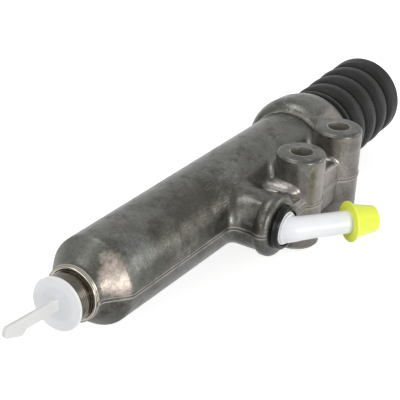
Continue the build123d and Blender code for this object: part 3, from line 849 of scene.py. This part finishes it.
# %% [markdown]
# ## Turned pieces
# The boot, the grommet and the cap are round. A turned piece starts as an outline: corners of
# (place along the axis, radius, rounding), in millimetres. Each corner is eased into a small
# curve, the outline is drawn by pulling one point out of the last, and a full spin about the axis
# makes a closed solid. A stack of cylinders would leave seams between the steps.

# %% Outlines and spins
def eased(corners, start=0.0, steps=5):
    """The points of a closed outline whose places are counted from start."""
    corners = [(start + along, radius, rounding) for along, radius, rounding in corners]
    points = []
    for i, (along, radius, rounding) in enumerate(corners):
        here = Vector((along, radius))
        if rounding == 0:
            points.append(here)
            continue
        before = Vector(corners[i - 1][:2]) - here
        after = Vector(corners[(i + 1) % len(corners)][:2]) - here
        first, last = here + before.normalized() * rounding, here + after.normalized() * rounding
        for k in range(steps + 1):
            t = k / steps
            points.append((1 - t) ** 2 * first + 2 * t * (1 - t) * here + t * t * last)
    return points


def spun(name, outline, centre, along, slot, steps=96):
    """A closed outline of (place, radius) in mm, spun about the line along from centre."""
    places = [centre + along * (point.x * MM) + up_z * (point.y * MM) for point in outline]
    mesh = bmesh.new()
    first = last = bmesh.ops.create_vert(mesh, co=places[0])["vert"][0]
    for before, after in zip(places, places[1:]):
        pulled = bmesh.ops.extrude_vert_indiv(mesh, verts=[last])["verts"]
        bmesh.ops.translate(mesh, vec=after - before, verts=pulled)
        last = pulled[0]
    bmesh.ops.contextual_create(mesh, geom=[last, first])
    bmesh.ops.spin(mesh, geom=mesh.verts[:] + mesh.edges[:], cent=centre, axis=along,
                   angle=2 * math.pi, steps=steps, use_merge=True)
    bmesh.ops.recalc_face_normals(mesh, faces=mesh.faces)
    return finished(mesh, name, slot)


# %% [markdown]
# ## The dust boot
# The boot has three parts. Its sleeve stays on the casting. On the real part the folds close up as
# the pushrod is pushed in and the end bulb travels with the piston and turns with the rod, so the
# boot is cut where its motion changes.
#
# The sleeve grips the casting's mouth and has a raised bead round it.

# %% Sleeve of the boot
mouth = mouth_x / MM
sleeve_start = mouth - 4.7
swing_x = sleeve_start + 8.5
grip_r, sleeve_r, bead_r, inner_r = 14.02, 16.2, 17.3, 13.2
fold_valley, ridge_rise = 14.9, 2.5


def mark_ridges(piece):
    """Store how far each point of a boot piece stands out from the valleys of the folds."""
    ridge = piece.data.attributes.new("ridge", "FLOAT", "POINT")
    for vertex, mark in zip(piece.data.vertices, ridge.data):
        radius = (vertex.co - bore).cross(along_x).length / MM
        mark.value = max(0.0, (radius - fold_valley) / ridge_rise)


boot_sleeve = spun("boot_sleeve", eased([
    (sleeve_start, grip_r, 0), (sleeve_start, sleeve_r, 0.5), (sleeve_start + 3.1, sleeve_r, 0.3),
    (sleeve_start + 3.2, bead_r, 0.8), (sleeve_start + 5.5, bead_r, 0.9),
    (sleeve_start + 5.6, 16.3, 0.3), (swing_x - 1.4, 14.6, 0.7), (swing_x - 0.2, 14.5, 0),
    (swing_x - 0.2, inner_r, 0), (swing_x - 1.4, inner_r, 0), (mouth + 0.1, grip_r, 0),
]), bore, along_x, "boot_rubber")
mark_ridges(boot_sleeve)
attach(boot_sleeve, "housing")

# %% [markdown]
# ### Folds of the boot
# A fold is broad and round outside, with a sharp valley on each side. A sine raised to a power
# below one has that form. The inner line is the same line, one wall thickness further in.

# %% Folds of the boot
fold_pitch, fold_count, fold_crest, wall = 10.1, 3, 17.3, 1.3
tuck, tuck_depth, join_gap = 0.9, 0.2, 0.05
last_valley = swing_x + fold_pitch * fold_count


def hump(phase):
    """How far a fold stands out, from 0 in the valley to 1 on the crest."""
    return math.sin(math.pi * phase ** 0.9) ** 0.55


def folds(inset, steps=14):
    """One line of the folds, starting with a short tuck under the sleeve."""
    points = [Vector((swing_x - tuck, fold_valley - tuck_depth - inset))]
    for i in range(fold_count * steps + 1):
        phase = (i % steps) / steps
        depth = (fold_crest - fold_valley) * (hump(phase) if phase > 0 else 0.0)
        place = swing_x + i / steps * fold_pitch - join_gap
        points.append(Vector((place, fold_valley + depth - inset)))
    return points


boot_folds = spun("boot_folds", folds(0) + folds(wall)[::-1], bore, along_x, "boot_rubber")
mark_ridges(boot_folds)

# %% [markdown]
# ### End bulb of the boot
# The last fold is wider and ends in a thick lip that grips the pushrod. It is one more turned
# outline, counted from the last valley, and it stays a piece of its own.

# %% End bulb of the boot
boot_bulb = spun("boot_bulb", eased([
    (0, 14.8, 0), (0.15, 14.9, 0.1), (2.0, 16.85, 1.6), (8.9, 17.0, 1.0), (9.2, 13.0, 1.2),
    (9.5, 7.9, 0.9), (13.0, 7.2, 0.8), (13.2, 4.2, 0.5), (7.8, 4.15, 0.3), (7.8, 14.4, 1.4),
    (2.2, 15.6, 1.0), (0, 13.5, 0),
], start=last_valley), bore, along_x, "boot_rubber")
mark_ridges(boot_bulb)

# %% [markdown]
# ### Lift the folds and the bulb
# The folds and the bulb rise by nearly four degrees from the first valley, as they do in the
# photograph. They lean by a shear, so every ring stays square to the bore and the folds close flat
# against the bulb. A turn would drive one side of the bulb into the sleeve at full stroke.

# %% Lift the folds and the bulb, and attach the folds to the housing
lift = math.radians(3.7)
pivot = Vector((swing_x * MM, bore_y, bore_z))
lean = Matrix.Identity(4)
lean[2][0] = math.tan(lift)
raised = Matrix.Translation(pivot) @ lean @ Matrix.Translation(-pivot)
for piece in (boot_folds, boot_bulb):
    piece.data.transform(raised)
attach(boot_folds, "housing")
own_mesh(boot_folds)
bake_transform(boot_bulb)
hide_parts("dust_boot")
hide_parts("dust_boot")
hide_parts("dust_boot")

# %% [markdown]
# ## The grommet
# The grommet is glossy black rubber with a rounded lip that stands out of the boss, and a step
# round the elbow. It is turned about the inlet's own axis, which the CAD node's box gives.

# %% Grommet
grommet_low, grommet_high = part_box("inlet_grommet")
inlet_x, inlet_z = (grommet_low.x + grommet_high.x) / 2, (grommet_low.z + grommet_high.z) / 2
inlet = Vector((inlet_x, bore_y, inlet_z))
outwards = Vector((0, -1, 0))
grommet_ring = spun("grommet_ring", eased([
    (-11.0, 5.4, 0), (-11.0, 8.25, 0.5), (-0.2, 8.25, 0.1), (0.1, 8.5, 0.2), (2.1, 8.0, 0.8),
    (2.2, 6.7, 0.4), (1.2, 6.5, 0.1), (1.0, 5.4, 0.1),
], start=(bore_y - grommet_low.y) / MM), inlet, outwards, "grommet_rubber", steps=72)
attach(grommet_ring, "housing")
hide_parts("inlet_grommet")

# %% [markdown]
# ## The inlet elbow
# The elbow is a moulded tube with a stepped collar against the grommet. Its stem leaves the
# collar at a slant. Each step is one circle, set square to the tube's line at that place, and
# bridging the circles one after another makes the skin of the tube. A swept circle could not
# change its radius on the way.

# %% Inlet elbow
turn_angle = math.radians(53.4)
stem = Vector((math.sin(turn_angle), -math.cos(turn_angle), 0))
knee_reach, knee_radius = 34.2, 4.85
knee = Vector((inlet.x, bore_y - knee_reach * MM, bore_z))
halfway = (outwards + stem).normalized()
leg_steps = [
    (20.0, 5.2), (31.6, 5.2), (31.7, 6.0), (31.9, 6.2), (32.6, 6.2), (32.8, 6.0), (32.85, 5.75),
    (33.1, 5.7), (33.4, 5.65), (33.55, 5.4), (33.6, 5.1),
]
stem_steps = [(2.2, 4.6), (4.5, 4.4), (8.0, 4.3), (31.6, 4.25), (31.9, 3.95)]


def bridged(name, stations, slot, segments=64):
    """A closed tube through circles given as (centre, direction, radius in mm)."""
    mesh = bmesh.new()
    loops = []
    for centre, direction, radius in stations:
        circle = bmesh.ops.create_circle(mesh, radius=radius * MM, segments=segments)["verts"]
        facing = direction.to_track_quat("Z", "Y").to_matrix().to_4x4()
        bmesh.ops.transform(mesh, matrix=Matrix.Translation(centre) @ facing, verts=circle)
        loops.append(list(dict.fromkeys(edge for vert in circle for edge in vert.link_edges)))
    for before, after in zip(loops, loops[1:]):
        bmesh.ops.bridge_loops(mesh, edges=before + after)
    for end in (loops[0], loops[-1]):
        bmesh.ops.contextual_create(mesh, geom=end)
    bmesh.ops.recalc_face_normals(mesh, faces=mesh.faces)
    return finished(mesh, name, slot)


stations = [(inlet + outwards * (at * MM), outwards, radius) for at, radius in leg_steps]
stations.append((knee, halfway, knee_radius))
stations += [(knee + stem * (at * MM), stem, radius) for at, radius in stem_steps]
elbow_pipe = bridged("elbow_pipe", stations, "white_plastic")
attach(elbow_pipe, "elbow")
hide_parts("inlet_elbow")

# %% [markdown]
# ## The transit cap
# The cap is a thin yellow moulding with a flared flange. It is pushed over the end of the stem and
# turns with the elbow. It is turned about the stem's line, and its outline goes in again at the
# closed end, so that the wall has a thickness all round.

# %% Transit cap
stem_end, overhang, cap_depth = 32.0, 2.2, 10.9
transit_cap = spun("transit_cap", eased([
    (0, 4.3, 0), (0, 7.6, 0.2), (0.8, 7.65, 0.3), (1.0, 6.5, 0.4), (10.65, 4.88, 0.6),
    (10.65, 0.4, 0), (8.7, 0.4, 0), (8.7, 4.3, 0.3),
], start=stem_end + overhang - cap_depth), knee, stem, "yellow_plastic", steps=72)
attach(transit_cap, "elbow")
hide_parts("inlet_cap")

# %% [markdown]
# ## The return spring
# The spring pushes the piston back. It keeps the form of its CAD solid: eight turns with closed
# ends. A new coil could be swept along a spiral, but a smooth copy shades the flat-sided wire as a
# round one and adds no faces.

# %% Return spring
coil = smooth_copy("return_spring", "coil_spring", 65)
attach(coil, "housing")
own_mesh(coil)

# %% [markdown]
# ## Compare the sizes
# The dressed part should stay inside the box of the CAD part, so both boxes are written out.

# %% Sizes of the CAD box and of the dressed part
sizes = {"cad": [list(corner) for corner in cad_box], "visual": [list(corner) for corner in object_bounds()]}
for label, (low, high) in sizes.items():
    print(label, [round((top - bottom) / MM, 2) for bottom, top in zip(low, high)], "mm")
